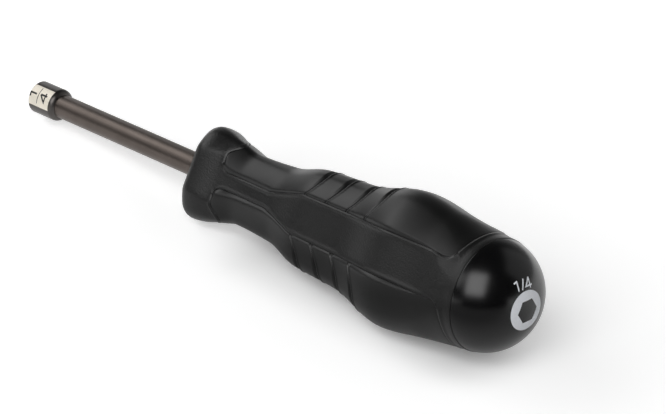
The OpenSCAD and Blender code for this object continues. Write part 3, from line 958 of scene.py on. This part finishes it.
def painted_floor(colour):
    """Matt white paint: no gloss, and a white lift that camera, mirror and glass rays see alike. The lift is
    least under the handle and grows away from it, a painted shadow round the tool.
    """
    settings = {"Base Color": rgba(colour), "Roughness": 1.0, "Specular IOR Level": 0.0}
    material, tree, shader, where = start_material("paint_matt_white", settings)
    rays = add_node(tree, "ShaderNodeLightPath").outputs
    seen = rays["Is Camera Ray"]
    for kind in ("Is Glossy Ray", "Is Transmission Ray"):
        larger = add_node(tree, "ShaderNodeMath", {"operation": "MAXIMUM"}, {0: seen, 1: rays[kind]})
        seen = larger.outputs[0]
    # Distance from the line under the handle: the lift, and so the painted shadow, depends on it
    nearest = where
    for limit, end in (("MINIMUM", UNDER_TO), ("MAXIMUM", UNDER_FROM)):
        settings = {"operation": limit, 1: (end, UNDER_Y, 0)}
        nearest = add_node(tree, "ShaderNodeVectorMath", settings, {0: nearest}).outputs["Vector"]
    settings = {"operation": "MULTIPLY", 1: (1, 1, 0)}
    flat = add_node(tree, "ShaderNodeVectorMath", settings, {0: where}).outputs["Vector"]
    away = add_node(tree, "ShaderNodeVectorMath", {"operation": "DISTANCE"}, {0: flat, 1: nearest})
    away = away.outputs["Value"]
    lifts = []
    for ramp in (
            soft_ramp(*UNDER_REACH, LIFT_PAINTED_SHADOW, LIFT_ROUND),
            soft_ramp(*ROUND_REACH, 0.0, LIFT_FAR - LIFT_ROUND)):
        lifts.append(add_node(tree, "ShaderNodeMapRange", ramp, {"Value": away}).outputs["Result"])
    lift = add_node(tree, "ShaderNodeMath", {"operation": "ADD"}, dict(enumerate(lifts))).outputs[0]
    lift = add_node(tree, "ShaderNodeMath", {"operation": "MULTIPLY"}, {0: seen, 1: lift}).outputs[0]
    shader.inputs["Emission Color"].default_value = (1, 1, 1, 1)
    tree.links.new(lift, shader.inputs["Emission Strength"])
    return material


def gloss_shade_card():
    """Matt black card, painted shade for the gloss: dark all over, thinned where the gloss should show more
    of the floor.
    """
    settings = {"Base Color": rgba(to_linear(FLAG_BLACK)), "Roughness": 1.0, "Specular IOR Level": 0.0}
    material, tree, shader, where = start_material("card_matt_black_painted_shade", settings)
    settings = {"operation": "DISTANCE", 1: FLAG_FROM}
    off = add_node(tree, "ShaderNodeVectorMath", settings, {0: where}).outputs["Value"]
    at = add_node(tree, "ShaderNodeSeparateXYZ", None, {0: where}).outputs
    # The cover near the butt is painted shade: the shaded floor drawn into the reflections
    near, further, far = FLAG_AND_SHADE_COVER
    cover = None
    for operation, ramp, source in (
            ("ADD", soft_ramp(*FLAG_NEAR, near, further), off),
            ("ADD", soft_ramp(*FLAG_WIDE, 0.0, far - further), off),
            ("MULTIPLY", soft_ramp(*FLAG_SIDE, 1.0, 0.0), at["Y"]),
            ("MULTIPLY", soft_ramp(*FLAG_FRONT, FLAG_LEFT, 1.0), at["X"])):
        part = add_node(tree, "ShaderNodeMapRange", ramp, {"Value": source}).outputs["Result"]
        if cover is not None:
            part = add_node(tree, "ShaderNodeMath", {"operation": operation}, {0: cover, 1: part}).outputs[0]
        cover = part
    tree.links.new(cover, shader.inputs["Alpha"])
    return material


def add_floor(colour):
    """A pale floor that sweeps up into a backdrop."""
    x = np.concatenate([-SWEEP_AT[::-1], FLOOR_X, SWEEP_AT])
    y = np.concatenate([-SWEEP_AT[::-1], FLOOR_Y, SWEEP_AT])
    floor = lay_sheet("floor", x, y, 0.0, painted_floor(colour))


def add_flag():
    """A black card on the floor that only mirror rays meet, in front of the tool: painted shade in the gloss,
    which it keeps dark.
    """
    x = np.concatenate([-SWEEP_AT[::-1], FLAG_X, SWEEP_AT])
    y = np.concatenate([-SWEEP_AT[::-1], FLAG_Y])
    flag = lay_sheet("black_flag_painted_shade", x, y, FLAG_LIFT, gloss_shade_card())
    flag.visible_camera = False
    flag.visible_diffuse = False
    flag.visible_shadow = False


def add_lamp(name, turn, height, away, width, tall, radiance):
    """A rectangular lamp that faces the tool and isn't seen itself."""
    turn, height = math.radians(turn), math.radians(height)
    back = Vector((
        math.sin(turn) * math.cos(height),
        -math.cos(turn) * math.cos(height),
        math.sin(height),
    ))
    light = bpy.data.lights.new(name, "AREA")
    light.shape = "RECTANGLE"
    light.size, light.size_y = width, tall
    light.energy = radiance * math.pi * width * tall
    light.use_nodes = True
    tree = light.node_tree
    # Parametric runs from 0 to 1 across the lamp, so its middle is at 0.5
    inside = add_node(tree, "ShaderNodeNewGeometry").outputs["Parametric"]
    across = add_node(tree, "ShaderNodeSeparateXYZ", None, {0: inside}).outputs
    fade = soft_ramp(0.5, 0.5 - 0.5 * LAMP_EDGE)
    soft = []
    for axis in ("X", "Y"):
        off = add_node(tree, "ShaderNodeMath", {"operation": "SUBTRACT", 1: 0.5}, {0: across[axis]})
        off = add_node(tree, "ShaderNodeMath", {"operation": "ABSOLUTE"}, {0: off.outputs[0]})
        soft.append(add_node(tree, "ShaderNodeMapRange", fade, {"Value": off.outputs[0]}).outputs["Result"])
    both = add_node(tree, "ShaderNodeMath", {"operation": "MULTIPLY"}, dict(enumerate(soft)))
    tree.links.new(both.outputs[0], tree.nodes["Emission"].inputs["Strength"])
    lamp = bpy.data.objects.new(name, light)
    lamp.location = TOOL_MIDDLE + back * away
    lamp.rotation_mode = "QUATERNION"
    lamp.rotation_quaternion = (-back).to_track_quat("-Z", "Y")
    lamp.visible_camera = False
    bpy.context.scene.collection.objects.link(lamp)


def add_world():
    """Dim light all round with a pale band."""
    world = bpy.data.worlds.new("studio")
    world.use_nodes = True
    tree = world.node_tree
    background = tree.nodes["Background"]
    background.inputs["Color"].default_value = (1, 1, 1, 1)
    look = add_node(tree, "ShaderNodeTexCoord").outputs["Generated"]
    settings = {"operation": "DOT_PRODUCT", 1: (math.sin(BAND_TURN), -math.cos(BAND_TURN), 0)}
    side = add_node(tree, "ShaderNodeVectorMath", settings, {0: look}).outputs["Value"]
    height = add_node(tree, "ShaderNodeSeparateXYZ", None, {0: look}).outputs["Z"]
    side = add_node(tree, "ShaderNodeMapRange", soft_ramp(*BAND_SIDE), {"Value": side}).outputs["Result"]
    low = add_node(tree, "ShaderNodeMapRange", soft_ramp(*BAND_HEIGHT), {"Value": height}).outputs["Result"]
    band = add_node(tree, "ShaderNodeMath", {"operation": "MULTIPLY"}, {0: side, 1: low}).outputs[0]
    settings = {"operation": "MULTIPLY_ADD", 1: WORLD_BAND, 2: WORLD_LIGHT}
    band = add_node(tree, "ShaderNodeMath", settings, {0: band}).outputs[0]
    tree.links.new(band, background.inputs["Strength"])
    bpy.context.scene.world = world


def add_camera():
    """The photograph's viewpoint: a long lens from behind the butt."""
    ahead = Vector((
        math.cos(CAMERA_TILT) * math.cos(CAMERA_PAN),
        math.cos(CAMERA_TILT) * math.sin(CAMERA_PAN),
        -math.sin(CAMERA_TILT),
    ))
    right = ahead.cross(Vector((0, 0, 1))).normalized()
    up = right.cross(ahead)
    rolled_right = right * math.cos(CAMERA_ROLL) + up * math.sin(CAMERA_ROLL)
    rolled_up = up * math.cos(CAMERA_ROLL) - right * math.sin(CAMERA_ROLL)
    data = bpy.data.cameras.new("camera")
    data.lens = FOCAL_LENGTH / PICTURE_WIDTH * CAMERA_SENSOR
    data.sensor_width = CAMERA_SENSOR
    data.clip_start, data.clip_end = CAMERA_CLIP
    camera = bpy.data.objects.new("camera", data)
    axes = Matrix((rolled_right, rolled_up, -ahead)).transposed()
    camera.matrix_world = Matrix.Translation(CAMERA_AT) @ axes.to_4x4()
    bpy.context.scene.collection.objects.link(camera)
    bpy.context.scene.camera = camera


class NUTDRIVER_OT_set_stage(Operator):
    """Sets the floor, the soft studio light and the camera"""
    bl_idname = "nut_driver.set_stage"
    bl_label = "Set the stage"

    def execute(self, context):
        scene = context.scene
        scene.view_settings.view_transform = "Standard"
        add_floor(scene.nut_driver_colours.floor)
        add_flag()
        for name, lamp in LAMPS.items():
            add_lamp(name, *lamp)
        add_world()
        add_camera()
        return {"FINISHED"}


class NUTDRIVER_PT_pieces(Panel):
    """Lists the steps, sizes and colours of the nut driver"""
    bl_idname = "NUTDRIVER_PT_pieces"
    bl_label = "Nut driver"
    bl_space_type = "VIEW_3D"
    bl_region_type = "UI"
    bl_category = "Nut driver"

    def draw(self, context):
        for step in STEPS:
            self.layout.operator(step.bl_idname)
        for group in (context.scene.nut_driver_sizes, context.scene.nut_driver_colours):
            for name in group.__annotations__:
                self.layout.prop(group, name)


STEPS = (
    NUTDRIVER_OT_mould_shell,
    NUTDRIVER_OT_mould_pads,
    NUTDRIVER_OT_mould_butt,
    NUTDRIVER_OT_finish_steel,
    NUTDRIVER_OT_print_butt,
    NUTDRIVER_OT_etch_socket,
    NUTDRIVER_OT_set_stage,
)
CLASSES = (NutDriverSizes, NutDriverColours, *STEPS, NUTDRIVER_PT_pieces)


def register():
    for cls in CLASSES:
        bpy.utils.register_class(cls)
    bpy.types.Scene.nut_driver_sizes = PointerProperty(type=NutDriverSizes)
    bpy.types.Scene.nut_driver_colours = PointerProperty(type=NutDriverColours)


def unregister():
    del bpy.types.Scene.nut_driver_colours
    del bpy.types.Scene.nut_driver_sizes
    for cls in reversed(CLASSES):
        bpy.utils.unregister_class(cls)


def main():
    register()
    bpy.ops.nut_driver.mould_shell()
    bpy.ops.nut_driver.mould_pads()
    bpy.ops.nut_driver.mould_butt()
    bpy.ops.nut_driver.finish_steel()
    bpy.ops.nut_driver.print_butt()
    bpy.ops.nut_driver.etch_socket()
    bpy.ops.nut_driver.set_stage()


if __name__ == "__main__":
    main()
